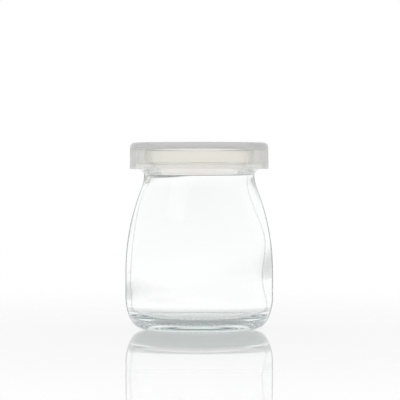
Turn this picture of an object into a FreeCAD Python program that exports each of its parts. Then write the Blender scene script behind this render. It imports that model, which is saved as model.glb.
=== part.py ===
"""Small glass pudding jar with a push-on polyethylene cap, as a parametric FreeCAD document.

Frame: +Z up, origin on the table at the centre of the jar's foot, millimetres.
Two sub-parts, both turned about Z: glass_jar, one piece of moulded glass, and snap_cap, one piece of
moulded plastic seated on the glass rim. Every size is a cell of the spreadsheet "sizes".
"""

import FreeCAD
import Part
import math
import os

import Sketcher

DOCUMENT = "pudding_jar"
SHEET = "sizes"
FULL_TURN = 360.0

# Sizes that can each be set alone: alias, millimetres, note.
DRIVING = [
    # the glass outside
    ("jar_height", 69.0, "table to the flat of the glass rim"),
    ("body_diameter", 56.0, "widest part of the glass"),
    ("belly_top", 22.0, "height where the side starts to lean in"),
    ("neck_diameter", 41.8, "narrowest part, under the rim bead"),
    ("finish_height", 9.9, "rim down to the narrowest part"),
    ("neck_sweep", 14.0, "radius of the hollow curve into the neck"),
    ("heel_inset", 7.4, "belly radius less the radius of the standing flat"),
    ("heel_radius", 6.0, "tight curve at the foot of the side"),
    ("heel_sweep", 20.0, "easy curve from there up to the belly"),
    # the bead round the mouth that the cap snaps over
    ("rim_projection", 4.1, "rim bead beyond the neck"),
    ("rim_depth", 5.9, "height of the rim bead's outer face"),
    ("neck_fillet", 2.4, "hollow curve under the rim bead"),
    ("bead_fillet", 1.0, "lower edge of the rim bead"),
    ("rim_outer_fillet", 1.8, "top outer edge of the rim"),
    ("rim_inner_fillet", 1.1, "top inner edge of the rim"),
    # the glass inside
    ("side_wall", 2.1, "glass thickness at the belly"),
    ("neck_wall", 2.3, "glass thickness in the neck"),
    ("floor_height", 5.2, "table to the crown of the inner floor"),
    ("floor_crown", 320.0, "radius of the slightly raised inner floor"),
    ("inner_heel", 3.4, "curve from the inner floor to the side"),
    ("cut_margin", 1.0, "how far the hollow's cut runs past the rim"),
    # the foot
    ("stand_width", 5.8, "standing flat, across"),
    ("punt_depth", 1.6, "dished hollow inside the standing flat"),
    ("punt_fillet", 0.8, "edge of that hollow"),
    ("knurl_count", 48.0, "short bars round the standing flat"),
    ("knurl_inset", 3.3, "outer edge of the flat to the middle of a bar"),
    ("knurl_length", 2.2, "bar from end to end, towards the axis"),
    ("knurl_width", 1.1, "bar from side to side"),
    ("knurl_height", 0.35, "how far a bar stands out"),
    # the cap's skirt and its snap bead
    ("skirt_clearance", 0.35, "rim bead to the inside of the skirt"),
    ("skirt_wall", 1.0, "thickness of the skirt"),
    ("skirt_draft", 0.1, "how much the skirt narrows to its top"),
    ("snap_radius", 0.7, "half-round bead inside the skirt"),
    ("snap_inset", 0.1, "centre of that bead inside the wall"),
    ("snap_drop", 0.75, "rim bead's lower edge to that centre"),
    ("lip_drop", 1.35, "that centre to the skirt's lower edge"),
    ("lip_fillet", 0.25, "edges of the skirt's lower edge"),
    # the cap's top and its sealing ring
    ("panel_thickness", 1.0, "disc that lies on the rim"),
    ("cap_corner", 1.9, "rounded outer edge of the top"),
    ("stack_height", 1.0, "raised ring round the top"),
    ("stack_width", 3.6, "that ring, skirt inwards"),
    ("stack_fillet", 0.4, "inner edges of that ring"),
    ("plug_clearance", 0.15, "bore to the sealing ring in it"),
    ("plug_wall", 0.9, "thickness of the sealing ring"),
    ("plug_depth", 5.8, "sealing ring below the rim"),
    ("plug_lead", 0.45, "how much its nose narrows"),
    ("plug_nose", 1.1, "height of that nose"),
    ("root_fillet", 0.4, "skirt and sealing ring to the disc"),
]

# Sizes that follow from those: alias, formula, note.
DERIVED = [
    ("body_radius", "body_diameter / 2", "outside of the belly"),
    ("neck_radius", "neck_diameter / 2", "outside of the neck"),
    ("neck_level", "jar_height - finish_height", "height of the narrowest part"),
    ("stand_radius", "body_radius - heel_inset", "outer edge of the standing flat"),
    ("rim_radius", "neck_radius + rim_projection", "outside of the rim bead"),
    ("rim_low", "jar_height - rim_depth", "lower edge of its outer face"),
    ("cavity_radius", "body_radius - side_wall", "inside of the belly"),
    ("bore_radius", "neck_radius - neck_wall", "inside of the neck and mouth"),
    ("cut_level", "jar_height + cut_margin", "top of the hollow's cut"),
    ("punt_radius", "stand_radius - stand_width", "edge of the hollow in the foot"),
    ("punt_top", "knurl_height + punt_depth", "crown of that hollow"),
    ("knurl_end", "knurl_width / 2", "round ends of a bar"),
    ("knurl_ring", "stand_radius - knurl_inset", "middle of the bars"),
    ("knurl_near", "knurl_ring - knurl_length / 2 + knurl_end", "centre of the inner end"),
    ("knurl_far", "knurl_ring + knurl_length / 2 - knurl_end", "centre of the outer end"),
    ("skirt_inner", "rim_radius + skirt_clearance", "inside of the skirt"),
    ("skirt_outer", "skirt_inner + skirt_wall", "outside of the skirt"),
    ("skirt_top", "skirt_outer - skirt_draft", "the same at the top"),
    ("snap_centre", "skirt_inner + snap_inset", "centre of the snap bead"),
    ("snap_level", "rim_low - snap_drop", "height of that centre"),
    ("lip_level", "snap_level - lip_drop", "lower edge of the skirt"),
    ("panel_top", "jar_height + panel_thickness", "upper face of the disc"),
    ("cap_top", "panel_top + stack_height", "top of the whole object"),
    ("stack_inner", "skirt_top - stack_width", "inside of the raised ring"),
    ("plug_outer", "bore_radius - plug_clearance", "outside of the sealing ring"),
    ("plug_inner", "plug_outer - plug_wall", "inside of the sealing ring"),
    ("plug_low", "jar_height - plug_depth", "tip of the sealing ring"),
    ("plug_tip", "plug_outer - plug_lead", "outer edge of that tip"),
    ("plug_shoulder", "plug_low + plug_nose", "where the nose starts"),
]


def make_sheet(doc):
    """The spreadsheet, one aliased row for each size."""
    sheet = doc.addObject("Spreadsheet::Sheet", SHEET)
    rows = [(alias, str(value), note) for alias, value, note in DRIVING]
    rows += [(alias, "=" + formula, note) for alias, formula, note in DERIVED]
    for row, (alias, content, note) in enumerate(rows, start=1):
        sheet.set(f"A{row}", alias)
        sheet.set(f"B{row}", content)
        sheet.set(f"C{row}", note)
        sheet.setAlias(f"B{row}", alias)
    doc.recompute()


def sizes(doc, *aliases):
    """The values of one or more sizes, in millimetres."""
    sheet = doc.getObject(SHEET)
    return [float(sheet.get(alias)) for alias in aliases]


def origin_plane(body, role):
    """One of a body's own origin planes."""
    return next(item for item in body.Origin.OriginFeatures if item.Role == role)


def make_body(doc, name):
    body = doc.addObject("PartDesign::Body", name)
    body.Label = name
    body.Placement = FreeCAD.Placement()
    return body


class Section:
    """A sketch on one of a body's origin planes, whose named dimensions are bound to the sheet.

    On XZ_Plane, x is the distance from the axis and y the height above the table. An edge's ends are
    START and END, an arc runs anticlockwise between them, and its centre is CENTRE.
    """

    START, END, CENTRE = 1, 2, 3
    ORIGIN = (-1, 1)
    X_AXIS = -1
    Y_AXIS = -2

    def __init__(self, body, name, plane="XZ_Plane"):
        self.sketch = body.newObject("Sketcher::SketchObject", name)
        self.sketch.AttachmentSupport = (origin_plane(body, plane), [""])
        self.sketch.MapMode = "FlatFace"
        self.sketch.Visibility = False

    def line(self, start, end):
        """Adds a straight edge and returns its number."""
        ends = [FreeCAD.Vector(x, y, 0) for x, y in (start, end)]
        return self.sketch.addGeometry(Part.LineSegment(*ends), False)

    def arc(self, centre, radius, first, last):
        """Adds an arc between two angles in degrees and returns its number."""
        middle = FreeCAD.Vector(centre[0], centre[1], 0)
        circle = Part.Circle(middle, FreeCAD.Vector(0, 0, 1), radius)
        edge = Part.ArcOfCircle(circle, math.radians(first), math.radians(last))
        return self.sketch.addGeometry(edge, False)

    def rule(self, kind, *targets):
        """Adds a constraint and returns its number."""
        return self.sketch.addConstraint(Sketcher.Constraint(kind, *targets))

    def join(self, first, first_end, second, second_end, smooth=False):
        """Joins two edges' ends, in line with each other if smooth."""
        self.rule("Tangent" if smooth else "Coincident", first, first_end, second, second_end)

    def on_axis(self, edge, *ends):
        """Puts points of an edge on the upright axis."""
        for end in ends:
            self.rule("PointOnObject", edge, end, self.Y_AXIS)

    def size(self, kind, targets, alias):
        """A dimension that takes its value from the sheet."""
        number = self.rule(kind, *targets, *sizes(self.sketch.Document, alias))
        label = f"{alias}_{number}"
        self.sketch.renameConstraint(number, label)
        self.sketch.setExpression(f"Constraints.{label}", f"{SHEET}.{alias}")

    def radius(self, edge, alias):
        self.size("Radius", (edge,), alias)

    def place(self, edge, end, across=None, up=None):
        """Ties a point of an edge to its distance from the axis, its height, or both."""
        if across:
            self.size("DistanceX", (*self.ORIGIN, edge, end), across)
        if up:
            self.size("DistanceY", (*self.ORIGIN, edge, end), up)

    def corners(self, aliases):
        """A closed outline of straight edges through corners, each given as its two aliases.

        A corner whose first alias is None lies on the axis. The outline starts and ends there.
        """
        doc = self.sketch.Document
        points = [(sizes(doc, x)[0] if x else 0.0, *sizes(doc, y)) for x, y in aliases]
        edges = [self.line(a, b) for a, b in zip(points, points[1:] + points[:1])]
        for edge, after in zip(edges, edges[1:] + edges[:1]):
            self.join(edge, self.END, after, self.START)
        for edge, (across, up) in zip(edges, aliases):
            self.place(edge, self.START, across, up)
            if across is None:
                self.on_axis(edge, self.START)


def accept(body, feature, adds):
    """Recomputes a new feature and makes sure that it added or removed material as meant."""
    before = feature.BaseFeature.Shape.Volume if feature.BaseFeature else 0.0
    body.Document.recompute()
    if (feature.Shape.Volume > before) != adds:
        raise RuntimeError(f"{feature.Name} did not {'add' if adds else 'remove'} material")


def turn(body, section, name, adds=True):
    """Revolves a section about the upright axis, to add material or to cut it away."""
    feature = body.newObject("PartDesign::Revolution" if adds else "PartDesign::Groove", name)
    feature.Profile = section.sketch
    feature.ReferenceAxis = (section.sketch, ["V_Axis"])
    feature.Angle = FULL_TURN
    accept(body, feature, adds)


def ring_edge(shape, radius, height, reach=0.005):
    """The name of the circular edge about the axis that has this radius and height."""
    for number, edge in enumerate(shape.Edges, start=1):
        if not edge.Degenerated and isinstance(edge.Curve, Part.Circle):
            off = edge.Curve.Center - FreeCAD.Vector(0, 0, height)
            if off.Length < reach and abs(edge.Curve.Radius - radius) < reach:
                return f"Edge{number}"
    raise RuntimeError(f"no ring edge of radius {radius:.2f} at height {height:.2f}")


def round_edges(body, name, radius_alias, *rings):
    """Rounds ring edges, each given by the aliases of its radius and height."""
    base = body.Tip
    edges = [ring_edge(base.Shape, *sizes(body.Document, *ring)) for ring in rings]
    feature = body.newObject("PartDesign::Fillet", name)
    feature.Base = (base, edges)
    feature.setExpression("Radius", f"{SHEET}.{radius_alias}")
    body.Document.recompute()


def lean(outer, inner, rise, sweep):
    """The two tangent arcs that carry an upright wall of radius outer up to one of radius inner.

    The lower arc bulges and the upper one, of radius sweep, is hollow. With a step d between the walls
    and a rise h their radii add up to (d^2 + h^2) / (2 d). Returns the lower radius and the angle in
    degrees through which each arc turns.
    """
    step = outer - inner
    both = (step * step + rise * rise) / (2 * step)
    return both - sweep, math.degrees(math.asin(rise / both))


def jar_outside(body):
    """The outside of the jar from the standing flat to the top of the rim bead, as solid glass."""
    belly, neck, stand, rim = sizes(
        body.Document, "body_radius", "neck_radius", "stand_radius", "rim_radius"
    )
    flat, shoulder, waist, rim_low, top = sizes(
        body.Document, "knurl_height", "belly_top", "neck_level", "rim_low", "jar_height"
    )
    heel, easy, sweep = sizes(body.Document, "heel_radius", "heel_sweep", "neck_sweep")

    # The heel's two arcs touch from inside, so their centres lie easy - heel apart.
    run = stand - (belly - easy)
    climb = math.sqrt((easy - heel) ** 2 - run ** 2)
    easy_level = flat + heel + climb
    meet = -math.degrees(math.atan2(climb, run))
    bulge, angle = lean(belly, neck, waist - shoulder, sweep)

    section = Section(body, "jar_outside_section")
    start, end, centre = section.START, section.END, section.CENTRE
    foot = section.line((0, flat), (stand, flat))
    heel_arc = section.arc((stand, flat + heel), heel, -90, meet)
    easy_arc = section.arc((belly - easy, easy_level), easy, meet, 0)
    side = section.line((belly, easy_level), (belly, shoulder))
    shoulder_arc = section.arc((belly - bulge, shoulder), bulge, 0, angle)
    neck_arc = section.arc((neck + sweep, waist), sweep, 180, 180 + angle)
    under = section.line((neck, waist), (rim, rim_low))
    face = section.line((rim, rim_low), (rim, top))
    lid = section.line((rim, top), (0, top))
    axis = section.line((0, top), (0, flat))

    section.join(foot, end, heel_arc, start, smooth=True)
    section.join(heel_arc, end, easy_arc, start, smooth=True)
    section.join(easy_arc, end, side, start, smooth=True)
    section.join(side, end, shoulder_arc, start, smooth=True)
    section.join(shoulder_arc, end, neck_arc, end, smooth=True)
    section.join(neck_arc, start, under, start)
    section.join(under, end, face, start)
    section.join(face, end, lid, start)
    section.join(lid, end, axis, start)
    section.join(axis, end, foot, start)
    section.on_axis(axis, start, end)
    for level in (foot, lid):
        section.rule("Horizontal", level)
    for upright in (side, face):
        section.rule("Vertical", upright)
    section.radius(heel_arc, "heel_radius")
    section.radius(easy_arc, "heel_sweep")
    section.radius(neck_arc, "neck_sweep")
    section.place(foot, end, "stand_radius", "knurl_height")
    section.place(side, end, "body_radius", "belly_top")
    section.place(neck_arc, start, "neck_radius", "neck_level")
    section.place(neck_arc, centre, up="neck_level")
    section.place(face, start, "rim_radius", "rim_low")
    section.place(face, end, up="jar_height")
    turn(body, section, "jar_outside")

    round_edges(body, "neck_curve", "neck_fillet", ("neck_radius", "neck_level"))
    round_edges(body, "bead_edge", "bead_fillet", ("rim_radius", "rim_low"))
    round_edges(body, "rim_outer_edge", "rim_outer_fillet", ("rim_radius", "jar_height"))


def jar_inside(body):
    """The hollow: a slightly raised floor, round inner heel, side, shoulder, neck and open mouth."""
    belly, bore, floor, crown, heel = sizes(
        body.Document, "cavity_radius", "bore_radius", "floor_height", "floor_crown", "inner_heel"
    )
    shoulder, waist, top, sweep = sizes(
        body.Document, "belly_top", "neck_level", "cut_level", "neck_sweep"
    )

    # The floor's arc and the heel's touch from outside, so their centres lie crown + heel apart.
    run = belly - heel
    climb = math.sqrt((crown + heel) ** 2 - run ** 2)
    heel_level = floor - crown + climb
    meet = math.degrees(math.atan2(climb, run))
    bulge, angle = lean(belly, bore, waist - shoulder, sweep)

    section = Section(body, "jar_inside_section")
    start, end, centre = section.START, section.END, section.CENTRE
    floor_arc = section.arc((0, floor - crown), crown, meet, 90)
    heel_arc = section.arc((run, heel_level), heel, meet - 180, 0)
    side = section.line((belly, heel_level), (belly, shoulder))
    shoulder_arc = section.arc((belly - bulge, shoulder), bulge, 0, angle)
    neck_arc = section.arc((bore + sweep, waist), sweep, 180, 180 + angle)
    mouth = section.line((bore, waist), (bore, top))
    lid = section.line((bore, top), (0, top))
    axis = section.line((0, top), (0, floor))

    section.join(floor_arc, start, heel_arc, start, smooth=True)
    section.join(heel_arc, end, side, start, smooth=True)
    section.join(side, end, shoulder_arc, start, smooth=True)
    section.join(shoulder_arc, end, neck_arc, end, smooth=True)
    section.join(neck_arc, start, mouth, start, smooth=True)
    section.join(mouth, end, lid, start)
    section.join(lid, end, axis, start)
    section.join(axis, end, floor_arc, end)
    section.on_axis(axis, start, end)
    section.on_axis(floor_arc, centre)
    section.rule("Horizontal", lid)
    for upright in (side, mouth):
        section.rule("Vertical", upright)
    section.radius(floor_arc, "floor_crown")
    section.radius(heel_arc, "inner_heel")
    section.radius(neck_arc, "neck_sweep")
    section.place(floor_arc, end, up="floor_height")
    section.place(side, end, "cavity_radius", "belly_top")
    section.place(mouth, start, "bore_radius", "neck_level")
    section.place(mouth, end, up="cut_level")
    turn(body, section, "jar_inside", adds=False)

    round_edges(body, "rim_inner_edge", "rim_inner_fillet", ("bore_radius", "jar_height"))


def jar_punt(body):
    """The shallow dished hollow under the floor, inside the standing flat."""
    edge, flat, crown = sizes(body.Document, "punt_radius", "knurl_height", "punt_top")
    depth = crown - flat
    dish = (edge * edge + depth * depth) / (2 * depth)

    section = Section(body, "jar_punt_section")
    start, end, centre = section.START, section.END, section.CENTRE
    base = section.line((0, flat), (edge, flat))
    roof = section.arc((0, crown - dish), dish, math.degrees(math.acos(edge / dish)), 90)
    axis = section.line((0, crown), (0, flat))
    section.join(base, end, roof, start)
    section.join(roof, end, axis, start)
    section.join(axis, end, base, start)
    section.on_axis(axis, start, end)
    section.on_axis(roof, centre)
    section.rule("Horizontal", base)
    section.place(base, end, "punt_radius", "knurl_height")
    section.place(roof, end, up="punt_top")
    turn(body, section, "jar_punt", adds=False)

    round_edges(body, "punt_edge", "punt_fillet", ("punt_radius", "knurl_height"))


def jar_knurl(body):
    """The ring of short round-ended bars that the jar stands on, so that hot glass bears lightly."""
    end_radius, near, far = sizes(body.Document, "knurl_end", "knurl_near", "knurl_far")
    section = Section(body, "knurl_bar_section", plane="XY_Plane")
    start, end, centre = section.START, section.END, section.CENTRE
    outer_end = section.arc((far, 0), end_radius, -90, 90)
    left = section.line((far, end_radius), (near, end_radius))
    inner_end = section.arc((near, 0), end_radius, 90, 270)
    right = section.line((near, -end_radius), (far, -end_radius))
    outline = (outer_end, left, inner_end, right)
    for edge, after in zip(outline, outline[1:] + outline[:1]):
        section.join(edge, end, after, start, smooth=True)
    for edge, across in ((outer_end, "knurl_far"), (inner_end, "knurl_near")):
        section.rule("PointOnObject", edge, centre, section.X_AXIS)
        section.place(edge, centre, across)
        section.radius(edge, "knurl_end")

    bar = body.newObject("PartDesign::Pad", "knurl_bar")
    bar.Profile = section.sketch
    bar.setExpression("Length", f"{SHEET}.knurl_height")
    accept(body, bar, adds=True)

    ring = body.newObject("PartDesign::PolarPattern", "knurl_ring_of_bars")
    ring.Originals = [bar]
    ring.Axis = (section.sketch, ["N_Axis"])
    ring.Angle = FULL_TURN
    ring.setExpression("Occurrences", f"{SHEET}.knurl_count")
    body.Tip = ring
    body.Document.recompute()


def make_jar(doc):
    """glass_jar: barrel belly, waisted neck and thick rim bead, blown in one piece."""
    body = make_body(doc, "glass_jar")
    jar_outside(body)
    jar_inside(body)
    jar_punt(body)
    jar_knurl(body)
    return body


def make_cap(doc):
    """snap_cap: a disc on the rim, a skirt over the rim bead and a sealing ring in the mouth."""
    body = make_body(doc, "snap_cap")
    shell = Section(body, "cap_section")
    shell.corners([
        (None, "jar_height"),
        ("plug_inner", "jar_height"),
        ("plug_inner", "plug_low"),
        ("plug_tip", "plug_low"),
        ("plug_outer", "plug_shoulder"),
        ("plug_outer", "jar_height"),
        ("skirt_inner", "jar_height"),
        ("skirt_inner", "lip_level"),
        ("skirt_outer", "lip_level"),
        ("skirt_top", "cap_top"),
        ("stack_inner", "cap_top"),
        ("stack_inner", "panel_top"),
        (None, "panel_top"),
    ])
    turn(body, shell, "cap_shell")

    # The snap bead is a half round whose flat side lies just inside the skirt's wall.
    across, up, radius = sizes(doc, "snap_centre", "snap_level", "snap_radius")
    bead = Section(body, "snap_bead_section")
    nose = bead.arc((across, up), radius, 90, 270)
    back = bead.line((across, up - radius), (across, up + radius))
    bead.join(nose, bead.END, back, bead.START)
    bead.join(back, bead.END, nose, bead.START)
    bead.rule("Vertical", back)
    bead.rule("PointOnObject", nose, bead.CENTRE, back)
    bead.radius(nose, "snap_radius")
    bead.place(nose, bead.CENTRE, "snap_centre", "snap_level")
    turn(body, bead, "snap_bead")

    round_edges(body, "top_corner", "cap_corner", ("skirt_top", "cap_top"))
    round_edges(
        body, "stack_edges", "stack_fillet", ("stack_inner", "cap_top"), ("stack_inner", "panel_top")
    )
    roots = [(alias, "jar_height") for alias in ("skirt_inner", "plug_outer", "plug_inner")]
    round_edges(body, "root_curves", "root_fillet", *roots)
    lips = [(alias, "lip_level") for alias in ("skirt_inner", "skirt_outer")]
    round_edges(body, "lip_edges", "lip_fillet", *lips)
    return body


def check(doc, bodies):
    """Stops before anything is written if an object failed or a sketch is left loose."""
    for item in doc.Objects:
        if {"Invalid", "Error"} & set(item.State):
            raise RuntimeError(f"{item.Name} failed: {item.State}")
        if item.TypeId == "Sketcher::SketchObject" and not item.FullyConstrained:
            raise RuntimeError(f"{item.Name} is not fully constrained")
    for body in bodies:
        if body.Shape.isNull() or not body.Shape.isValid() or len(body.Shape.Solids) != 1:
            raise RuntimeError(f"{body.Label} is not one valid solid")


def main():
    doc = FreeCAD.newDocument(DOCUMENT)
    make_sheet(doc)
    bodies = [make_jar(doc), make_cap(doc)]
    doc.recompute()
    check(doc, bodies)
    os.makedirs("parts", exist_ok=True)
    for body in bodies:
        body.Shape.exportStep(f"parts/{body.Label}.step")
        box = body.Shape.BoundBox
        print(f"{body.Label}: {body.Shape.Volume:.0f} mm3, z {box.ZMin:.2f} to {box.ZMax:.2f}")


main()
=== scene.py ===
"""The looks of a small glass pudding jar with a frosted push-on cap, laid out as an add-on.

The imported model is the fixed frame. The jar and the cap are turned surfaces, worked out with numpy in
millimetres and set down in metres, standing on z = 0. The glass has the uneven inner wall and the
knurled foot of a blown jar.
"""

import math

import bpy
import numpy as np
from bpy.props import FloatProperty, FloatVectorProperty, IntProperty, PointerProperty
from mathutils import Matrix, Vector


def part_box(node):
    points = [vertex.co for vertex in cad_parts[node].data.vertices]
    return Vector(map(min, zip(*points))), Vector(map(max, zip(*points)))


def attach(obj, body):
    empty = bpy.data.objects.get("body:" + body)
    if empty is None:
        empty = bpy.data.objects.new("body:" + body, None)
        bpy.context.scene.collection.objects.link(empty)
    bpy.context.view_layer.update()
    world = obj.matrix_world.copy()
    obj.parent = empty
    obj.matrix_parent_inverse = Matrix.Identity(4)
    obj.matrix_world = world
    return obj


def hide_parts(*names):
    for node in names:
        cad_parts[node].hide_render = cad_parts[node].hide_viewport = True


bl_info = {
    "name": "Pudding Jar",
    "version": (1, 0, 0),
    "blender": (4, 5, 0),
    "location": "View3D > Sidebar > Jar",
    "description": "Makes a small glass pudding jar, its frosted cap and a white studio",
    "category": "Add Mesh",
}

BODY = "root"
MM = 0.001

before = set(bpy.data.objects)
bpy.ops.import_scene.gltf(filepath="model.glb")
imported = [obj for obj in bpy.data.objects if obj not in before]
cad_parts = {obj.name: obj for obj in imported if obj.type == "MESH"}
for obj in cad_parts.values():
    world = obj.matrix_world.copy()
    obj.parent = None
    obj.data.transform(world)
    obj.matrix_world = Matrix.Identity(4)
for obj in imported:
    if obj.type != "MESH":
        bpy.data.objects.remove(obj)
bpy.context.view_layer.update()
JAR_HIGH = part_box("glass_jar")[1]
CAP_LOW, CAP_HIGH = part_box("snap_cap")
JAR_HEIGHT = JAR_HIGH.z / MM
BODY_RADIUS = JAR_HIGH.x / MM
CAP_RADIUS = CAP_HIGH.x / MM
CAP_TOP = CAP_HIGH.z / MM
LIP_LEVEL = CAP_LOW.z / MM

# How finely the outlines are worked out, softened and kept, in millimetres, and the points round each.
ARC_STEP = 0.08
FINE_STEP = 0.02
JAR_SOFTNESS = 0.16
JAR_CHORD_GAP = 0.013
JAR_LONGEST_OUTSIDE = 2.5
JAR_LONGEST_INSIDE = 1.1
KNURL_STEP = 0.17
JAR_TURNS = 480
CAP_SOFTNESS = 0.05
CAP_CHORD_GAP = 0.003
CAP_LONGEST = 1.5
CAP_TURNS = 360

# Close points are kept this far past the bars' ends and above the foot's flat. The bars stand down from
# what lies under the next height above the flat, and the inside starts this far below the rim's top.
KNURL_MARGIN = 0.4
KNURL_BAND = 0.2
UNDER_BAND = 0.3
CREST_BAND = 0.02

# The uneven inner wall: where it is thick, its wave, and ripples as (lobes, rise per radian, phase).
THICK_SIDE = math.radians(8.0)
WAVE_CREST = 51.0
WAVE_LENGTH = 34.0
WAVE_GATHER = 1.5
RIPPLES = ((5, 6.0, 0.0), (3, -4.1, 1.3), (7, 9.0, 0.4))
EVEN_BELOW, EVEN_BELOW_FADE = 10.0, 9.0
EVEN_ABOVE, EVEN_ABOVE_FADE = 60.5, 8.0

# Corners of the jar's finish, from the neck round the bead to the mouth, in millimetres.
NECK_RUN = 1.3
NECK_CORNER = 1.2
BEAD_CORNER = 1.0
RIM_CORNER = 1.8
MOUTH_CORNER = 1.1

# Where the glass's looks set in, among them the painted shade of the dark edge lines and of the rim. Facing
# goes from 0 square on to 1 edge on, and the fades are heights in millimetres.
PAINTED_LINE_FACING = (0.78, 0.95)
PAINTED_LINE_UPRIGHT = (0.3, 0.9)
PAINTED_RIM_FACING = (0.2, 0.4)
PAINTED_RIM_FADE = 1.0
FOOT_FADE = (1.5, 3.5)
TIP_FADE = (0.24, 0.33)
TIP_ROUGHNESS = 0.6
GLASS_IOR = 1.52

# The plastic: depths under the cap's top and distances from the stacking ring's inside where the thick
# corner sets in, in millimetres, its noise scales, and how the light goes through.
CROWN_START, CROWN_FULL = 2.6, 1.2
RING_BEFORE, RING_AFTER = 1.5, 0.5
CLOUD_SCALE, GRAIN_SCALE = 90.0, 4200.0
STRAIGHT_ROUGHNESS, STRAIGHT_IOR = 0.27, 1.12
SLANT_LIMIT, SLANT_POWER = 1.05, 1.8
CROWN_BLOCK = 0.75
PLASTIC_IOR = 1.5

# The studio: the lamp's place and the camera's reach are in metres, and the ceiling's rise is the upward
# part of a ray's direction, where the grey starts and is full.
ACRYLIC_IOR = 1.49
CEILING_RISE = (0.35, 0.8)
KEY_PLACE = (-0.45, -0.45, 0.6)
VIEW_REACH = (0.05, 50.0)
WHITE = (1.0, 1.0, 1.0)


# ---------------------------------------------------------------- settings


def length(label, text, default):
    """A setting in millimetres."""
    return FloatProperty(name=label, description=text, default=default, min=0.0)


def amount(label, text, default, high=1.0):
    """A plain number from 0 to high."""
    return FloatProperty(name=label, description=text, default=default, min=0.0, max=high)


def span(label, text, default):
    """A setting in metres."""
    return FloatProperty(name=label, description=text, default=default, unit="LENGTH")


def colour(label, text, default):
    """A colour setting."""
    return FloatVectorProperty(
        name=label, description=text, default=default, size=3, min=0.0, max=1.0, subtype="COLOR"
    )


class JarSettings(bpy.types.PropertyGroup):
    """The blown glass. Lengths are in millimetres."""

    neck_radius: length("Neck radius", "Outside of the narrowest part", 20.9)
    neck_drop: length("Neck drop", "Rim down to the narrowest part", 9.9)
    neck_sweep: length("Neck sweep", "Radius of the hollow curve into the neck", 14.0)
    belly_top: length("Belly top", "Height where the side starts to lean in", 22.0)
    stand_radius: length("Standing radius", "Outer edge of the standing flat", 20.6)
    heel_radius: length("Heel", "Tight curve at the foot of the side", 6.0)
    heel_sweep: length("Heel sweep", "Easy curve from the heel up to the belly", 20.0)
    rim_radius: length("Rim radius", "Outside of the rim bead", 25.0)
    rim_depth: length("Rim depth", "Height of the rim bead's outer face", 5.9)
    bore_radius: length("Bore", "Inside of the neck and mouth", 18.6)
    side_wall: length("Side wall", "Glass thickness at the belly", 2.1)
    floor_height: length("Floor height", "Table to the crown of the inner floor", 5.2)
    floor_crown: length("Floor crown", "Radius of the slightly raised inner floor", 150.0)
    inner_heel: length("Inner heel", "Curve from the inner floor to the side", 6.0)
    punt_radius: length("Punt radius", "Edge of the hollow under the foot", 14.8)
    punt_depth: length("Punt depth", "Depth of that hollow", 1.6)
    knurl_count: IntProperty(name="Knurl bars", description="Bars under the foot", default=48, min=3)
    knurl_ring: length("Knurl ring", "Radius of the middle of the bars", 17.3)
    knurl_length: length("Bar length", "End to end, towards the axis", 2.4)
    knurl_width: length("Bar width", "Side to side", 1.45)
    knurl_height: length("Bar height", "How far a bar stands out", 0.35)
    lopsided: length("Lopsided wall", "How much thicker one side of the wall is", 0.5)
    wave: length("Wave", "Rise and fall of the thick side's inner wall", 0.45)
    ripple: length("Ripple", "Small unevenness of the inner wall", 0.035)
    tint: colour("Glass tint", "Colour of light through a thick piece of the glass", (0.87, 0.93, 0.915))
    tint_depth: length("Tint depth", "Thickness that gives that colour", 60.0)
    # Painted shade: the grey given to an upright outer wall where it is seen nearly edge on.
    edge: colour("Edge", "Colour of an upright wall seen along its surface", (0.25, 0.27, 0.27))
    # Painted shade on the thick rim where it is seen at a slant.
    painted_rim_shade: colour("Rim tone", "Colour of the thick rim seen at a slant", (0.62, 0.62, 0.62))
    foot_tone: colour("Foot tone", "Colour of the lowest few millimetres", (0.80, 0.86, 0.84))
    tip: colour("Bar tips", "Colour of the ground tips of the bars", (0.97, 0.97, 0.97))
    shade: colour("Shade", "Colour of the light that a surface lets through", (0.955, 0.96, 0.96))
    patience: IntProperty(
        name="Patience", description="Bounces in the glass before light leaves straight", default=9, min=1
    )
    mirrors: IntProperty(
        name="Mirrors", description="Reflections in it before light leaves straight", default=3, min=1
    )


class CapSettings(bpy.types.PropertyGroup):
    """The moulded cap. Lengths are in millimetres."""

    skirt_wall: length("Skirt wall", "Thickness of the skirt", 1.0)
    draft: length("Draft", "How much the skirt narrows to its top", 0.1)
    corner: length("Corner", "Rounded outer edge of the top", 1.9)
    panel: length("Panel", "Thickness of the disc on the rim", 1.0)
    stack_width: length("Stacking ring", "Width of the raised ring round the top", 3.6)
    plug_outer: length("Plug radius", "Outside of the sealing ring", 18.45)
    plug_wall: length("Plug wall", "Thickness of the sealing ring", 0.9)
    plug_depth: length("Plug depth", "Sealing ring below the rim", 5.8)
    snap_radius: length("Snap bead", "Half-round bead inside the skirt", 0.7)
    snap_rise: length("Snap rise", "Skirt's lower edge to the middle of the snap bead", 1.35)
    tone: colour("Plastic", "Colour of the frosted plastic", (0.76, 0.75, 0.735))
    crown_tone: colour("Top corner", "Colour of the thick top corner", (0.70, 0.69, 0.71))
    glow: amount("Glow", "Share of the scattered light that comes out on the far side", 0.22)
    clear: amount("Clear", "Share of the light that goes straight through a wall", 0.91)
    straight_tone: colour("Straight light", "Colour of that light", (0.975, 0.965, 0.94))
    haze: colour("Haze", "Colour of light that crosses much of the plastic", (0.50, 0.50, 0.54))
    haze_density: amount("Haze density", "How fast that colour sets in, per metre", 20.0, 1000.0)
    frost: amount("Frost", "Roughness of the frosted surface", 0.42)


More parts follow.
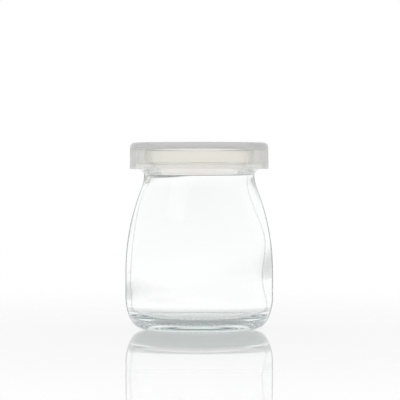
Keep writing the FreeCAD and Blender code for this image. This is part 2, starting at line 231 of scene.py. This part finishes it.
class StageSettings(bpy.types.PropertyGroup):
    """Floor, light and camera. Lengths are in metres."""

    floor: colour("Floor", "Colour of the glossy floor", (0.95, 0.95, 0.95))
    floor_size: span("Floor size", "Side of the floor", 60.0)
    far: colour("Far floor", "Colour that the floor is seen in away from the jar", (0.99, 0.99, 0.99))
    near_edge: span("Near edge", "Distance from the axis where that colour starts", 0.03)
    far_edge: span("Far edge", "Distance from the axis where it is reached", 0.3)
    ambient: amount("Ambient", "Brightness of the white surround", 0.86)
    ceiling: colour("Ceiling", "Grey of the ceiling mirrored inside the glass", (0.30, 0.33, 0.33))
    key: FloatProperty(name="Key light", description="Power of the soft light", default=0.25, unit="POWER")
    key_size: span("Key size", "Side of the soft light", 0.5)
    eye_height: span("Eye height", "Camera above the table", 0.061)
    distance: span("Distance", "Camera to the jar's axis", 0.8)
    aim_height: span("Aim height", "Middle of the view", 0.0492)
    view_width: span("View width", "Width seen at the jar", 0.152)
    aside: span("Aside", "Camera beside the jar's axis", 0.0003)


# ---------------------------------------------------------------- outlines and turned surfaces


def arc(centre, radius, first, last, step=ARC_STEP):
    """Points of a circle's arc from angle first to last, in degrees, about step apart."""
    count = max(3, int(abs(math.radians(last - first)) * radius / step) + 1)
    angle = np.radians(np.linspace(first, last, count))
    return np.stack([centre[0] + radius * np.cos(angle), centre[1] + radius * np.sin(angle)], axis=1)


def rounded(corners, step=ARC_STEP):
    """A run of straight edges through (x, y, radius) corners, each rounded by an arc of its radius.

    An arc of radius r tangent to both edges of a corner with half-angle a starts r / tan(a) from it, and
    its centre lies r / sin(a) from it along the bisector. The first and last corners are plain ends.
    """
    pts = np.array([c[:2] for c in corners], float)
    radii = [c[2] for c in corners]
    parts = [pts[:1]]
    for i in range(1, len(pts) - 1):
        before, after = pts[i - 1] - pts[i], pts[i + 1] - pts[i]
        before, after = before / np.linalg.norm(before), after / np.linalg.norm(after)
        half = math.acos(float(np.clip(before @ after, -1.0, 1.0))) / 2
        if radii[i] <= 0 or half > math.radians(89.5):
            parts.append(pts[i : i + 1])
            continue
        bisector = (before + after) / np.linalg.norm(before + after)
        centre = pts[i] + bisector * radii[i] / math.sin(half)
        tangent = radii[i] / math.tan(half)
        start, end = pts[i] + before * tangent - centre, pts[i] + after * tangent - centre
        first = math.degrees(math.atan2(start[1], start[0]))
        turn = math.degrees(math.atan2(start[0] * end[1] - start[1] * end[0], float(start @ end)))
        parts.append(arc(centre, radii[i], first, first + turn, step))
    parts.append(pts[-1:])
    return np.concatenate(parts)


def spaced(points, step):
    """The same outline with points every step along it."""
    reach = np.concatenate([[0.0], np.cumsum(np.linalg.norm(np.diff(points, axis=0), axis=1))])
    keep = np.concatenate([[True], np.diff(reach) > 1e-9])
    reach, points = reach[keep], points[keep]
    at = np.linspace(0.0, reach[-1], max(2, int(round(reach[-1] / step)) + 1))
    return np.stack([np.interp(at, reach, points[:, 0]), np.interp(at, reach, points[:, 1])], axis=1)


def softened(points, width):
    """The outline with every point replaced by the mean of its neighbours, weighted by a bell curve.

    The ends stay: before the mean the outline is continued past each end by its own mirror image.
    """
    count = max(1, int(round(3 * width)))
    bell = np.exp(-0.5 * (np.arange(-count, count + 1) / width) ** 2)
    bell /= bell.sum()
    head = 2 * points[0] - points[count:0:-1]
    tail = 2 * points[-1] - points[-2 : -count - 2 : -1]
    long = np.concatenate([head, points, tail])
    return np.stack([np.convolve(long[:, i], bell, mode="valid") for i in (0, 1)], axis=1)


def thinned(points, tolerance, longest):
    """The outline with fewer points: a point's share of turning sets how densely it is kept.

    A chord over a stretch of turning t and length l leaves the curve by t l / 8, so the stretch asks for
    sqrt(t l / (8 tolerance)) points, and for at least l / longest.
    """
    edge = np.diff(points, axis=0)
    size = np.linalg.norm(edge, axis=1)
    turn = np.abs(np.diff(np.unwrap(np.arctan2(edge[:, 1], edge[:, 0]))))
    turn = np.concatenate([[0.0], turn]) + 1e-12
    need = np.maximum(np.sqrt(turn * size / (8 * tolerance)), size / longest)
    total = np.concatenate([[0.0], np.cumsum(need)])
    at = np.linspace(0.0, total[-1], int(math.ceil(total[-1])) + 1)
    return np.stack([np.interp(at, total, points[:, 0]), np.interp(at, total, points[:, 1])], axis=1)


def turned(name, radius, height):
    """A closed surface of revolution from grids of radius and height over (angle, outline), in mm.

    A grid's first index is the angle. Point (i, j) is at (r cos a, r sin a, z) with a = 2 pi i / n. The
    outline's two ends lie on the axis, where each becomes one point closed by triangles.
    """
    turns, steps = radius.shape
    angle = 2 * math.pi * np.arange(turns)[:, None] / turns
    inner = slice(1, steps - 1)
    ring = np.stack(
        [
            radius[:, inner] * np.cos(angle),
            radius[:, inner] * np.sin(angle),
            height[:, inner],
        ],
        axis=-1,
    )
    across = steps - 2
    poles = np.array([[0.0, 0.0, height[0, 0]], [0.0, 0.0, height[0, -1]]])
    verts = np.concatenate([ring.reshape(-1, 3), poles]) * MM
    i, j = np.meshgrid(np.arange(turns), np.arange(across - 1), indexing="ij")
    after = (i + 1) % turns
    quads = np.stack(
        [i * across + j, after * across + j, after * across + j + 1, i * across + j + 1], axis=-1
    ).reshape(-1, 4)
    k = np.arange(turns)
    follow = (k + 1) % turns
    low, high = turns * across, turns * across + 1
    first = np.stack([np.full(turns, low), follow * across, k * across], axis=-1)
    last = np.stack([k * across + across - 1, follow * across + across - 1, np.full(turns, high)], axis=-1)
    mesh = bpy.data.meshes.new(name)
    mesh.from_pydata(verts, [], quads.tolist() + first.tolist() + last.tolist())
    mesh.validate()
    mesh.polygons.foreach_set("use_smooth", np.ones(len(mesh.polygons), bool))
    mesh.update()
    piece = bpy.data.objects.new(name, mesh)
    bpy.context.scene.collection.objects.link(piece)
    return piece


# ---------------------------------------------------------------- shader nodes


class Socket:
    """An output socket that node maths can be written with."""

    def __init__(self, nodes, socket):
        self.nodes = nodes
        self.socket = socket

    def math(self, operation, *values):
        """A Math node over numbers and sockets."""
        return self.nodes.add("ShaderNodeMath", {"operation": operation}, dict(enumerate(values)))

    def __add__(self, other):
        return self.math("ADD", self, other)

    def __radd__(self, other):
        return self.math("ADD", other, self)

    def __sub__(self, other):
        return self.math("SUBTRACT", self, other)

    def __rsub__(self, other):
        return self.math("SUBTRACT", other, self)

    def __mul__(self, other):
        return self.math("MULTIPLY", self, other)

    def __rmul__(self, other):
        return self.math("MULTIPLY", other, self)

    def __truediv__(self, other):
        return self.math("DIVIDE", self, other)

    def __rtruediv__(self, other):
        return self.math("DIVIDE", other, self)

    def __pow__(self, other):
        return self.math("POWER", self, other)

    def __rpow__(self, other):
        return self.math("POWER", other, self)

    def __gt__(self, other):
        """1 where this is the larger, else 0."""
        return self.math("GREATER_THAN", self, other)

    def __lt__(self, other):
        """1 where this is the smaller, else 0."""
        return self.math("LESS_THAN", self, other)

    def __or__(self, other):
        """The larger of two values."""
        return self.math("MAXIMUM", self, other)

    def __ror__(self, other):
        return self.math("MAXIMUM", other, self)

    def __abs__(self):
        return self.math("ABSOLUTE", self)


class Nodes:
    """A node tree being built."""

    def __init__(self, tree):
        self.tree = tree
        tree.nodes.clear()

    def add(self, kind, settings=None, inputs=None, out=0):
        """Adds a node, its settings first, then its sockets by number or name, and returns one output."""
        node = self.tree.nodes.new(kind)
        for key, value in (settings or {}).items():
            setattr(node, key, value)
        for key, value in (inputs or {}).items():
            if isinstance(value, Socket):
                self.tree.links.new(value.socket, node.inputs[key])
            else:
                node.inputs[key].default_value = value
        return Socket(self, node.outputs[out]) if node.outputs else None

    def blend(self, share, first, second):
        """Colour first, turning into second as share goes to 1."""
        return self.add(
            "ShaderNodeMix",
            {"data_type": "RGBA"},
            {"Factor": share, 6: self.rgba(first), 7: self.rgba(second)},
            out=2,
        )

    def mix(self, share, first, second):
        """Shader first, turning into second as share goes to 1."""
        return self.add("ShaderNodeMixShader", None, {"Fac": share, 1: first, 2: second})

    def facing(self):
        """0 where a surface is looked at squarely, 1 where it is seen edge on."""
        return self.add("ShaderNodeLayerWeight", None, {"Blend": 0.5}, out="Facing")

    def surface(self, name):
        """A property of the surface that is being looked at."""
        return self.add("ShaderNodeNewGeometry", out=name)

    def path(self, name):
        """A property of the ray that is being followed."""
        return self.add("ShaderNodeLightPath", out=name)

    def seen(self):
        """1 where something is seen by the camera, in a mirror or through glass, else 0."""
        return self.path("Is Camera Ray") | self.path("Is Glossy Ray") | self.path("Is Transmission Ray")

    def split(self, vector, axis):
        """One component of a vector."""
        return self.add("ShaderNodeSeparateXYZ", None, {0: vector}, out=axis)

    def ramp(self, value, start, end):
        """0 up to start, 1 from end on and an even S between."""
        limits = {0: value, 1: start, 2: end}
        return self.add("ShaderNodeMapRange", {"interpolation_type": "SMOOTHSTEP"}, limits)

    @staticmethod
    def rgba(value):
        """A colour as a socket takes it."""
        return value if isinstance(value, Socket) else (*value, 1.0)

    def finish(self, surface, volume=None):
        """The material's output."""
        ends = {"Surface": surface} if volume is None else {"Surface": surface, "Volume": volume}
        self.add("ShaderNodeOutputMaterial", None, ends)


def new_material(name):
    """An empty material and its nodes."""
    material = bpy.data.materials.new(name)
    material.use_nodes = True
    return material, Nodes(material.node_tree)


def jar_glass_material(jar):
    """Clear soda-lime glass with a faint green tint in depth, thin grey lines of painted shade where a wall
    turns away, and painted shade on the rim where it is seen at a slant.

    Light that has bounced about in the glass for long leaves it straight, which keeps thick parts clear.
    """
    material, nodes = new_material("jar_glass")
    where = nodes.add("ShaderNodeTexCoord", out="Object")
    height = nodes.split(where, "Z")
    facing = nodes.facing()

    # Painted shade darkens the rim where it is seen at a slant, and the lowest few millimetres are a little
    # darker and greener than the wall.
    rim_low = JAR_HEIGHT - jar.rim_depth - PAINTED_RIM_FADE
    rim = nodes.ramp(height, rim_low * MM, (rim_low + PAINTED_RIM_FADE) * MM) * nodes.ramp(facing, *PAINTED_RIM_FACING)
    foot = 1.0 - nodes.ramp(height, FOOT_FADE[0] * MM, FOOT_FADE[1] * MM)
    tone = nodes.blend(rim, WHITE, jar.painted_rim_shade)
    tone = nodes.blend(foot, tone, jar.foot_tone)
    glass = nodes.add(
        "ShaderNodeBsdfPrincipled",
        None,
        {"Base Color": tone, "Roughness": 0.0, "IOR": GLASS_IOR, "Transmission Weight": 1.0},
    )
    # Painted shade: an upright outer wall seen nearly edge on gets a thin grey line, standing in for the
    # dark surround seen in the glass there.
    upright = 1.0 - abs(nodes.split(nodes.surface("Normal"), "Z"))
    outside = 1.0 - nodes.surface("Backfacing")
    edge = nodes.ramp(facing, *PAINTED_LINE_FACING) * nodes.ramp(upright, *PAINTED_LINE_UPRIGHT) * outside
    painted_dark_line = nodes.add("ShaderNodeBsdfTransparent", None, {"Color": (*jar.edge, 1.0)})
    glass = nodes.mix(edge, glass, painted_dark_line)
    # The bars stand on the table with ground, milky tips.
    ground = nodes.add(
        "ShaderNodeBsdfPrincipled", None, {"Base Color": (*jar.tip, 1.0), "Roughness": TIP_ROUGHNESS}
    )
    through = nodes.add("ShaderNodeBsdfTranslucent", None, {"Color": (*jar.tip, 1.0)})
    tip = 1.0 - nodes.ramp(height, TIP_FADE[0] * MM, TIP_FADE[1] * MM)
    glass = nodes.mix(tip, glass, nodes.mix(0.5, ground, through))
    # Long paths leave straight, and shadows and soft light pass with a slight loss.
    bounced = nodes.path("Ray Depth") > jar.patience + 0.5
    mirrored = nodes.path("Glossy Depth") > jar.mirrors + 0.5
    freed = nodes.add("ShaderNodeBsdfTransparent")
    glass = nodes.mix(bounced | mirrored, glass, freed)
    shadow = nodes.path("Is Shadow Ray") | nodes.path("Is Diffuse Ray")
    shade = nodes.add("ShaderNodeBsdfTransparent", None, {"Color": (*jar.shade, 1.0)})
    surface = nodes.mix(shadow, glass, shade)
    # Absorption leaves e^(density * (colour - 1) * depth), which is the tint after one tint_depth.
    tint = [1.0 + math.log(c) for c in jar.tint]
    density = 1.0 / (jar.tint_depth * MM)
    volume = nodes.add("ShaderNodeVolumeAbsorption", None, {"Color": (*tint, 1.0), "Density": density})
    nodes.finish(surface, volume)
    return material


def frosted_plastic_material(cap):
    """Milky polyethylene: part of the light scatters in it, part glows through and part goes straight on.

    The thick stacking ring lets less straight through than the thin walls.
    """
    material, nodes = new_material("frosted_plastic")
    where = nodes.add("ShaderNodeTexCoord", out="Object")
    cloud = nodes.add("ShaderNodeTexNoise", None, {"Vector": where, "Scale": CLOUD_SCALE, "Detail": 2.0})
    grain = nodes.add("ShaderNodeTexNoise", None, {"Vector": where, "Scale": GRAIN_SCALE, "Detail": 2.0})
    bump = nodes.add("ShaderNodeBump", None, {"Strength": 0.12, "Distance": 0.05 * MM, "Height": grain})
    flat = nodes.add("ShaderNodeVectorMath", {"operation": "MULTIPLY"}, {0: where, 1: (1.0, 1.0, 0.0)})
    reach = nodes.add("ShaderNodeVectorMath", {"operation": "LENGTH"}, {0: flat}, out="Value")
    ring = CAP_RADIUS - cap.stack_width
    height = nodes.split(where, "Z")
    thick = nodes.ramp(height, (CAP_TOP - CROWN_START) * MM, (CAP_TOP - CROWN_FULL) * MM)
    thick = thick * nodes.ramp(reach, (ring - RING_BEFORE) * MM, (ring + RING_AFTER) * MM)
    tone = nodes.blend(cloud, [c * 0.985 for c in cap.tone], cap.tone)
    tone = nodes.blend(thick, tone, cap.crown_tone)
    rough = cap.frost - 0.03 + 0.06 * cloud
    skin = nodes.add(
        "ShaderNodeBsdfPrincipled",
        None,
        {"Base Color": tone, "Roughness": rough, "IOR": PLASTIC_IOR, "Normal": bump},
    )
    glow = nodes.add("ShaderNodeBsdfTranslucent", None, {"Color": (*cap.tone, 1.0)})
    milky = nodes.mix(cap.glow, skin, glow)
    # The IOR here is low, because the wall's far side is left straight.
    straight = nodes.add(
        "ShaderNodeBsdfRefraction",
        None,
        {"Color": (*cap.straight_tone, 1.0), "Roughness": STRAIGHT_ROUGHNESS, "IOR": STRAIGHT_IOR},
    )
    # A wall crossed at a slant is a longer way through, so less comes straight on.
    slant = (1.0 / (SLANT_LIMIT - nodes.facing())) ** SLANT_POWER
    through = cap.clear**slant * (1.0 - CROWN_BLOCK * thick)
    entering = nodes.mix(through, milky, straight)
    leaving = nodes.add("ShaderNodeBsdfTransparent")
    surface = nodes.mix(nodes.path("Is Shadow Ray") | nodes.surface("Backfacing"), entering, leaving)
    haze = {"Color": (*cap.haze, 1.0), "Density": cap.haze_density}
    nodes.finish(surface, nodes.add("ShaderNodeVolumeAbsorption", None, haze))
    return material


def floor_material(stage):
    """White acrylic with a mirror gloss. Away from the jar it is seen as white, but still mirrors."""
    material, nodes = new_material("white_acrylic")
    near = nodes.add(
        "ShaderNodeBsdfPrincipled",
        None,
        {"Base Color": (*stage.floor, 1.0), "Roughness": 0.0, "IOR": ACRYLIC_IOR},
    )
    white = nodes.add("ShaderNodeEmission", None, {"Color": (*stage.far, 1.0), "Strength": 1.0})
    mirror = nodes.add("ShaderNodeBsdfGlossy", None, {"Color": (*WHITE, 1.0), "Roughness": 0.0})
    far = nodes.mix(nodes.add("ShaderNodeFresnel", None, {"IOR": ACRYLIC_IOR}), white, mirror)
    where = nodes.add("ShaderNodeTexCoord", out="Object")
    away = nodes.add("ShaderNodeVectorMath", {"operation": "LENGTH"}, {0: where}, out="Value")
    fade = nodes.ramp(away, stage.near_edge, stage.far_edge) * nodes.seen()
    nodes.finish(nodes.mix(fade, near, far))
    return material


# ---------------------------------------------------------------- the jar


def lean(outer, inner, rise, sweep):
    """Radius and turn of the bulging arc that meets a hollow one of radius sweep, wall to wall.

    With a step d between two upright walls and a rise h, the two radii add up to
    (d^2 + h^2) / (2 d), and both arcs turn by asin(h / sum).
    """
    step = outer - inner
    both = (step * step + rise * rise) / (2 * step)
    return both - sweep, math.degrees(math.asin(rise / both))


def jar_outline(jar):
    """The half-section in two runs: from under the foot over the rim, and from the neck to the inner floor.

    Every run is made of arcs that touch, with straight edges only at the finish.
    """
    flat, top, belly = jar.knurl_height, JAR_HEIGHT, BODY_RADIUS
    waist, rim_low = top - jar.neck_drop, top - jar.rim_depth
    neck, sweep, rise = jar.neck_radius, jar.neck_sweep, top - jar.neck_drop - jar.belly_top

    # Underside: a dished hollow and the standing flat.
    dish = (jar.punt_radius**2 + jar.punt_depth**2) / (2 * jar.punt_depth)
    crown = flat + jar.punt_depth
    dished = arc((0, crown - dish), dish, 90, math.degrees(math.acos(jar.punt_radius / dish)))
    # Heel: two arcs that touch from inside, then the upright belly.
    run = jar.stand_radius - (belly - jar.heel_sweep)
    climb = math.sqrt((jar.heel_sweep - jar.heel_radius) ** 2 - run**2)
    level = flat + jar.heel_radius + climb
    meet = -math.degrees(math.atan2(climb, run))
    heel = arc((jar.stand_radius, flat + jar.heel_radius), jar.heel_radius, -90, meet)
    easy = arc((belly - jar.heel_sweep, level), jar.heel_sweep, meet, 0)
    # Shoulder: a bulging arc, then a hollow one into the neck.
    bulge, angle = lean(belly, neck, rise, sweep)
    shoulder = arc((belly - bulge, jar.belly_top), bulge, 0, angle)
    hollow = arc((neck + sweep, waist), sweep, 180 + angle, 180)
    # Finish: the sloped underside, the bead's face and the rounded rim.
    run_in = waist - NECK_RUN
    rim = rounded(
        [
            (neck, run_in, 0.0),
            (neck, waist, NECK_CORNER),
            (jar.rim_radius, rim_low, BEAD_CORNER),
            (jar.rim_radius, top, RIM_CORNER),
            (jar.bore_radius, top, MOUTH_CORNER),
            (jar.bore_radius, waist, 0.0),
        ]
    )
    below = hollow[:, 1] < run_in
    outside = np.concatenate([dished, heel, easy, shoulder, hollow[below], rim[1:]])

    # The inner wall, its heel and the domed floor.
    cavity = belly - jar.side_wall
    bulge, angle = lean(cavity, jar.bore_radius, rise, sweep)
    hollow = arc((jar.bore_radius + sweep, waist), sweep, 180, 180 + angle)
    shoulder = arc((cavity - bulge, jar.belly_top), bulge, angle, 0)
    run = cavity - jar.inner_heel
    climb = math.sqrt((jar.floor_crown + jar.inner_heel) ** 2 - run**2)
    level = jar.floor_height - jar.floor_crown + climb
    meet = math.degrees(math.atan2(climb, run))
    heel = arc((run, level), jar.inner_heel, 0, meet - 180)
    floor = arc((0, jar.floor_height - jar.floor_crown), jar.floor_crown, meet, 90)
    inside = np.concatenate([hollow[1:], shoulder, heel, floor])
    return outside, inside


def inner_shift(jar, angle, height):
    """How far the inner wall stands in from its even place, over grids of angle and height.

    A cosine of the angle makes one side thicker, a cosine of the height on that side makes it rise and
    fall, and three crossed waves add a fine ripple. All of it fades out at the floor and the neck.
    """
    side = np.cos(angle - THICK_SIDE)
    wave = np.cos(2 * math.pi * (height - WAVE_CREST) / WAVE_LENGTH) * (0.5 + 0.5 * side) ** WAVE_GATHER
    ripple = sum(np.sin(lobes * angle + height / rise + phase) for lobes, rise, phase in RIPPLES)
    fade = smooth((height - EVEN_BELOW) / EVEN_BELOW_FADE) * smooth((EVEN_ABOVE - height) / EVEN_ABOVE_FADE)
    return fade * (jar.lopsided * side + jar.wave * wave + jar.ripple * ripple)


def smooth(value):
    """0 below 0, 1 above 1 and an even S between."""
    value = np.clip(value, 0.0, 1.0)
    return value * value * (3 - 2 * value)


def knurl(jar, angle, radius):
    """How far the round-ended bars under the foot stand down, over grids of angle and radius.

    With d the distance from a bar's spine over half its width, the bar's height is (1 - d^2)^0.75.
    """
    pitch = 2 * math.pi / jar.knurl_count
    off = (angle + pitch / 2) % pitch - pitch / 2
    along, aside = radius * np.cos(off) - jar.knurl_ring, radius * np.sin(off)
    half = jar.knurl_width / 2
    past = np.maximum(np.abs(along) - (jar.knurl_length / 2 - half), 0.0)
    distance = np.hypot(past, aside) / half
    return jar.knurl_height * np.clip(1 - distance**2, 0.0, None) ** 0.75


def make_jar(jar):
    """The outline, softened as by fire polishing and turned, with the bars and the uneven inner wall."""
    outside, inside = jar_outline(jar)
    whole = softened(spaced(np.concatenate([outside, inside]), FINE_STEP), JAR_SOFTNESS / FINE_STEP)
    whole[0, 0] = whole[-1, 0] = 0.0
    # The stretch under the bars needs even, close points, and the rest only what its curves ask for.
    flat, flat_half = jar.knurl_height, jar.knurl_length / 2 + KNURL_MARGIN
    near = (np.abs(whole[:, 0] - jar.knurl_ring) < flat_half) & (whole[:, 1] < flat + KNURL_BAND)
    first, last = np.flatnonzero(near)[[0, -1]]
    outline = np.concatenate(
        [
            thinned(whole[: first + 1], JAR_CHORD_GAP, JAR_LONGEST_OUTSIDE),
            spaced(whole[first : last + 1], KNURL_STEP)[1:-1],
            thinned(whole[last:], JAR_CHORD_GAP, JAR_LONGEST_INSIDE),
        ]
    )
    angle = 2 * math.pi * np.arange(JAR_TURNS)[:, None] / JAR_TURNS
    radius, height = np.tile(outline[:, 0], (JAR_TURNS, 1)), np.tile(outline[:, 1], (JAR_TURNS, 1))
    # The inside starts at the outline's first point on top of the rim.
    crest = int(np.argmax(outline[:, 1] > JAR_HEIGHT - CREST_BAND))
    within = (np.arange(len(outline)) > crest)[None, :]
    radius = radius - within * inner_shift(jar, angle, height)
    under = (~within) & (height < flat + UNDER_BAND)
    height = height - under * knurl(jar, angle, radius)
    piece = turned("jar_glass", radius, height)
    piece.data.materials.append(jar_glass_material(jar))
    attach(piece, BODY)
    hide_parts("glass_jar")


# ---------------------------------------------------------------- the cap


def cap_outline(cap):
    """The half-section from under the disc, round the sealing ring and the skirt, to the gate mark on top.

    It is straight edges with rounded corners, each given as radius, height and corner.
    """
    under, panel_top = JAR_HEIGHT, JAR_HEIGHT + cap.panel
    plug_in = cap.plug_outer - cap.plug_wall
    plug_low = under - cap.plug_depth
    skirt_in = CAP_RADIUS - cap.skirt_wall
    top_radius = CAP_RADIUS - cap.draft
    stack_in = top_radius - cap.stack_width
    snap = LIP_LEVEL + cap.snap_rise
    # The snap bead is a half circle sunk a little into the skirt.
    bead = arc((skirt_in + 0.1, snap), cap.snap_radius, 98, 262)
    gate_floor, gate_pip = panel_top - 0.3, panel_top - 0.05
    first = rounded(
        [
            (0.0, under, 0.0),
            (plug_in, under, 0.4),
            (plug_in, plug_low, 0.2),
            (cap.plug_outer - 0.45, plug_low, 0.2),
            (cap.plug_outer, plug_low + 1.1, 0.3),
            (cap.plug_outer, under, 0.4),
            (skirt_in, under, 0.4),
            (skirt_in, snap + cap.snap_radius, 0.0),
        ]
    )
    second = rounded(
        [
            (skirt_in, snap - cap.snap_radius, 0.0),
            (skirt_in, LIP_LEVEL, 0.25),
            (CAP_RADIUS, LIP_LEVEL, 0.25),
            (top_radius, CAP_TOP, cap.corner),
            (stack_in, CAP_TOP, 0.4),
            (stack_in, panel_top, 0.4),
            (1.6, panel_top, 0.3),
            (1.5, gate_floor, 0.1),
            (0.9, gate_floor, 0.1),
            (0.8, gate_pip, 0.1),
            (0.0, gate_pip, 0.0),
        ]
    )
    return np.concatenate([first, bead, second])


def make_cap(cap):
    """The outline with its edges softened a little, and turned."""
    whole = softened(spaced(cap_outline(cap), FINE_STEP), CAP_SOFTNESS / FINE_STEP)
    whole[0, 0] = whole[-1, 0] = 0.0
    outline = thinned(whole, CAP_CHORD_GAP, CAP_LONGEST)
    radius, height = np.tile(outline[:, 0], (CAP_TURNS, 1)), np.tile(outline[:, 1], (CAP_TURNS, 1))
    piece = turned("cap_plastic", radius, height)
    piece.data.materials.append(frosted_plastic_material(cap))
    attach(piece, BODY)
    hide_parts("snap_cap")


# ---------------------------------------------------------------- the studio


def make_floor(stage):
    """One large square."""
    half = stage.floor_size / 2
    mesh = bpy.data.meshes.new("floor")
    corners = [(-half, -half, 0.0), (half, -half, 0.0), (half, half, 0.0), (-half, half, 0.0)]
    mesh.from_pydata(corners, [], [(0, 1, 2, 3)])
    floor = bpy.data.objects.new("floor", mesh)
    bpy.context.scene.collection.objects.link(floor)
    mesh.materials.append(floor_material(stage))


def make_surround(stage):
    """A white surround, pure white where it is seen directly, in the floor or straight through glass.

    Light that was mirrored inside the glass sees a grey ceiling, which grows with the height it goes to.
    """
    world = bpy.data.worlds.new("white_surround")
    bpy.context.scene.world = world
    world.use_nodes = True
    nodes = Nodes(world.node_tree)
    inside = (nodes.path("Glossy Depth") > 0.5) * (nodes.path("Transmission Depth") > 0.5)
    where = nodes.add("ShaderNodeTexCoord", out="Generated")
    ceiling = nodes.ramp(nodes.split(where, "Z"), *CEILING_RISE)
    tone = nodes.blend(nodes.seen(), (stage.ambient,) * 3, WHITE)
    tone = nodes.blend(inside * ceiling, tone, stage.ceiling)
    light = nodes.add("ShaderNodeBackground", None, {"Color": tone, "Strength": 1.0})
    nodes.add("ShaderNodeOutputWorld", None, {"Surface": light})


def make_key(stage):
    """A large soft lamp, high on the left in front."""
    lamp = bpy.data.lights.new("key", "AREA")
    lamp.shape = "SQUARE"
    lamp.size = stage.key_size
    lamp.energy = stage.key
    holder = bpy.data.objects.new("key", lamp)
    bpy.context.scene.collection.objects.link(holder)
    holder.location = KEY_PLACE
    holder.rotation_mode = "QUATERNION"
    holder.rotation_quaternion = (-holder.location).to_track_quat("-Z", "Y")


def make_camera(stage):
    """A long lens at the height of the cap's lower edge, looking along +Y and slightly down."""
    data = bpy.data.cameras.new("camera")
    data.lens = data.sensor_width * stage.distance / stage.view_width
    data.clip_start, data.clip_end = VIEW_REACH
    holder = bpy.data.objects.new("camera", data)
    bpy.context.scene.collection.objects.link(holder)
    holder.location = (stage.aside, -stage.distance, stage.eye_height)
    drop = math.atan2(stage.eye_height - stage.aim_height, stage.distance)
    holder.rotation_euler = (math.radians(90) - drop, 0.0, 0.0)
    bpy.context.scene.camera = holder


# ---------------------------------------------------------------- operators and panel


class JAR_OT_glass(bpy.types.Operator):
    """Make the blown glass jar"""

    bl_idname = "jar.glass"
    bl_label = "Glass jar"

    def execute(self, context):
        make_jar(context.scene.jar_glass)
        return {"FINISHED"}


class JAR_OT_cap(bpy.types.Operator):
    """Make the frosted push-on cap"""

    bl_idname = "jar.cap"
    bl_label = "Frosted cap"

    def execute(self, context):
        make_cap(context.scene.jar_cap)
        return {"FINISHED"}


class JAR_OT_stage(bpy.types.Operator):
    """Make the floor, the light and the camera"""

    bl_idname = "jar.stage"
    bl_label = "White studio"

    def execute(self, context):
        stage = context.scene.jar_stage
        make_floor(stage)
        make_surround(stage)
        make_key(stage)
        make_camera(stage)
        context.scene.view_settings.view_transform = "Standard"
        return {"FINISHED"}


class JAR_PT_panel(bpy.types.Panel):
    """Buttons for the jar, its cap and the studio"""

    bl_idname = "JAR_PT_panel"
    bl_label = "Pudding jar"
    bl_space_type = "VIEW_3D"
    bl_region_type = "UI"
    bl_category = "Jar"

    def draw(self, context):
        for operator in (JAR_OT_glass, JAR_OT_cap, JAR_OT_stage):
            self.layout.operator(operator.bl_idname)


CLASSES = (
    JarSettings,
    CapSettings,
    StageSettings,
    JAR_OT_glass,
    JAR_OT_cap,
    JAR_OT_stage,
    JAR_PT_panel,
)


def register():
    """Adds the classes and the three groups of settings."""
    for cls in CLASSES:
        bpy.utils.register_class(cls)
    bpy.types.Scene.jar_glass = PointerProperty(type=JarSettings)
    bpy.types.Scene.jar_cap = PointerProperty(type=CapSettings)
    bpy.types.Scene.jar_stage = PointerProperty(type=StageSettings)


def unregister():
    """Takes them away again."""
    del bpy.types.Scene.jar_glass
    del bpy.types.Scene.jar_cap
    del bpy.types.Scene.jar_stage
    for cls in reversed(CLASSES):
        bpy.utils.unregister_class(cls)


def main():
    """Makes everything."""
    register()
    bpy.ops.jar.glass()
    bpy.ops.jar.cap()
    bpy.ops.jar.stage()


if __name__ == "__main__":
    main()
